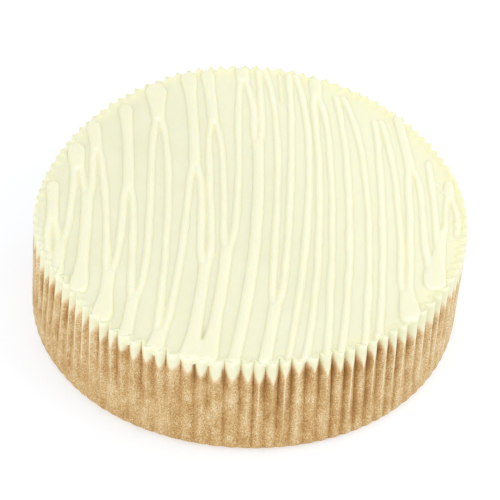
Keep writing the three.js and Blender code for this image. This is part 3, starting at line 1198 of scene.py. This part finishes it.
# %% Paint the icing
def ice(material, pale, deep):
    tree, shader = start_material(material)
    tone = add(tree, mottle(tree, 35.0, 1.6), 0.5)
    colour = ramp(tree, tone, [(0.2, deep), (0.8, pale)])
    grain = add(tree, mottle(tree, 900.0, 0.5), mottle(tree, 150.0, 1.5))
    tree.links.new(bump(tree, grain, 0.00006), shader.inputs["Normal"])
    set_inputs(shader, {"Roughness": 0.45, "Specular IOR Level": 0.35, "Subsurface Weight": 0.3})
    set_inputs(shader, {"Subsurface Radius": (1.0, 0.75, 0.35), "Subsurface Scale": 0.0012})
    return tree, shader, colour


icing_material = bpy.data.materials.new("set_icing")
tree, shader, colour = ice(icing_material, linear(240, 240, 212), linear(235, 235, 203))
# Painted light: paler towards the back right.
colour = mix(tree, read(tree, "pale"), colour, linear(246, 246, 214))
# Painted shade: warmer along the far rim.
colour = mix(tree, read(tree, "warm_rim_shade"), colour, linear(248, 245, 203))
tree.links.new(mix(tree, read(tree, "thin"), colour, linear(212, 190, 136)), shader.inputs["Base Color"])
icing.data.materials.append(icing_material)
print(len(tree.nodes), "nodes in", icing_material.name)

# %% [markdown]
# ## Piped icing
#
# The lines are the same stuff, a little paler. At its foot a line takes the tone of the icing below,
# with a warm painted shade where the two meet. The tops of the tallest piles get a painted shade, and
# the flanks that face the near side get a painted highlight in patches.

# %% Paint the piped lines
piping_material = bpy.data.materials.new("piped_icing")
tree, shader, colour = ice(piping_material, linear(247, 247, 220), linear(244, 244, 214))
# Painted light: the lines and the ground at their foot are paler towards the back right.
colour = mix(tree, read(tree, "pale"), colour, linear(251, 252, 223))
own_ground = mix(tree, read(tree, "pale"), linear(240, 240, 210), linear(246, 246, 214))
rise = read(tree, "rise")
colour = mix(tree, ramp(tree, rise, [(0.1, grey(0)), (0.75, grey(1))]), own_ground, colour)
# Painted shade: a warm tint on the flanks near the foot of each line.
foot = ramp(tree, rise, [(0.0, grey(0.2)), (0.08, grey(0.55)), (0.4, grey(0.35)), (0.85, grey(0))])
colour = mix(tree, foot, colour, linear(249, 239, 190))
# Painted shade on the tops of the tallest piles.
pile_top_shade = ramp(tree, times(tree, rise, 0.5), [(0.55, grey(0)), (0.8, grey(0.7))])
colour = mix(tree, pile_top_shade, colour, linear(243, 242, 211))
# Painted highlight on the flanks that face the near side, in patches, weaker past the rim.
patches = add(tree, mottle(tree, 210.0, 2.2), 0.85)
within_rim = add(tree, times(tree, read(tree, "on_top"), 0.55), 0.15)
near_side_highlight = times(tree, times(tree, read(tree, "near_side_highlight"), within_rim), patches)
tree.links.new(mix(tree, near_side_highlight, colour, linear(254, 255, 238)), shader.inputs["Base Color"])
for piece in piped.values():
    piece.data.materials.append(piping_material)
print(len(tree.nodes), "nodes in", piping_material.name)

# %% [markdown]
# ## Crumb
#
# The sponge is warm brown and grainy. The paper and the icing hide it, so its finish is simple.

# %% Paint the crumb
crumb_material = bpy.data.materials.new("cake_crumb")
tree, shader = start_material(crumb_material)
crumb_tone = add(tree, mottle(tree, 500.0, 1.6), mottle(tree, 90.0, 0.8), 0.5)
crumb_colour = ramp(tree, crumb_tone, [(0.2, linear(150, 105, 58)), (0.8, linear(214, 172, 116))])
tree.links.new(crumb_colour, shader.inputs["Base Color"])
tree.links.new(bump(tree, crumb_tone, 0.0004), shader.inputs["Normal"])
set_inputs(shader, {"Roughness": 0.85})
cake.data.materials.append(crumb_material)
print([material.name for material in bpy.data.materials])

# %% [markdown]
# ## Floor, light and camera
#
# A plain white floor, a wide soft dome of light and two large soft lamps give the even light of a
# food studio. The floor glows a little, as a light table does, so the shadows on it stay faint. The
# camera looks down from the near side at about 45 degrees, through a long lens.

# %% The floor and the dome of light
deselect_all()
bpy.ops.mesh.primitive_plane_add(size=6)
floor = bpy.context.object
floor.name = "floor"
floor_material = bpy.data.materials.new("light_table")
tree, shader = start_material(floor_material)
set_inputs(shader, {"Base Color": (0.55, 0.585, 0.632, 1), "Roughness": 0.9})
set_inputs(shader, {"Emission Color": grey(1), "Emission Strength": 0.48})
floor.data.materials.append(floor_material)

world = bpy.data.worlds.new("soft_dome")
bpy.context.scene.world = world
world.use_nodes = True
dome = world.node_tree.nodes["Background"]
set_inputs(dome, {"Color": grey(1), "Strength": 0.86})
print(floor.name, "and", world.name)


# %% The lamps
def soft_lamp(name, place, size, watts):
    deselect_all()
    bpy.ops.object.light_add(type="AREA", location=place)
    lamp = bpy.context.object
    lamp.name = name
    lamp.data.size = size
    lamp.data.energy = watts
    aim = Vector((0, 0, CASE_HEIGHT * MM)) - Vector(place)
    lamp.rotation_euler = aim.to_track_quat("-Z", "Y").to_euler()
    return lamp


soft_lamp("front_lamp", (-0.6, -0.75, 0.52), 0.6, 1.9)
soft_lamp("window_lamp", (0.75, -0.2, 0.65), 0.7, 2.3)
print([light.name for light in bpy.data.lights])

# %% The camera
ELEVATION = math.radians(44.8)
ROLL = math.radians(2.25)
DISTANCE = 724.3
AIM_X, AIM_Y = 0.7, -0.53

bpy.ops.object.camera_add()
camera = bpy.context.object
camera.name = "studio_camera"
camera.data.lens = 122.3
camera.data.sensor_width = 36
camera.data.clip_end = 20
target = Vector((AIM_X - CENTRE[0], AIM_Y - CENTRE[1], CASE_HEIGHT / 2)) * MM
back = Vector((0, -math.cos(ELEVATION), math.sin(ELEVATION)))
camera.location = target + back * DISTANCE * MM
camera.rotation_euler = (math.radians(90) - ELEVATION, 0, 0)
camera.rotation_euler.rotate_axis("Z", ROLL)
bpy.context.scene.camera = camera
bpy.context.scene.view_settings.view_transform = "Standard"
print(f"the camera stands {DISTANCE:.0f} mm away")

# %% [markdown]
# ## Hand the pieces over
#
# Each fine piece takes the place of its plain solid and rides on the cake's one body.

for piece, slot_name, node_name in [
    (paper, "paper", "paper_case"),
    (cake, "crumb", "cake"),
    (icing, "icing", "icing"),
    *[(piece, "piping", name) for name, piece in piped.items()],
]:
    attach(piece, "root")
    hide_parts(node_name)
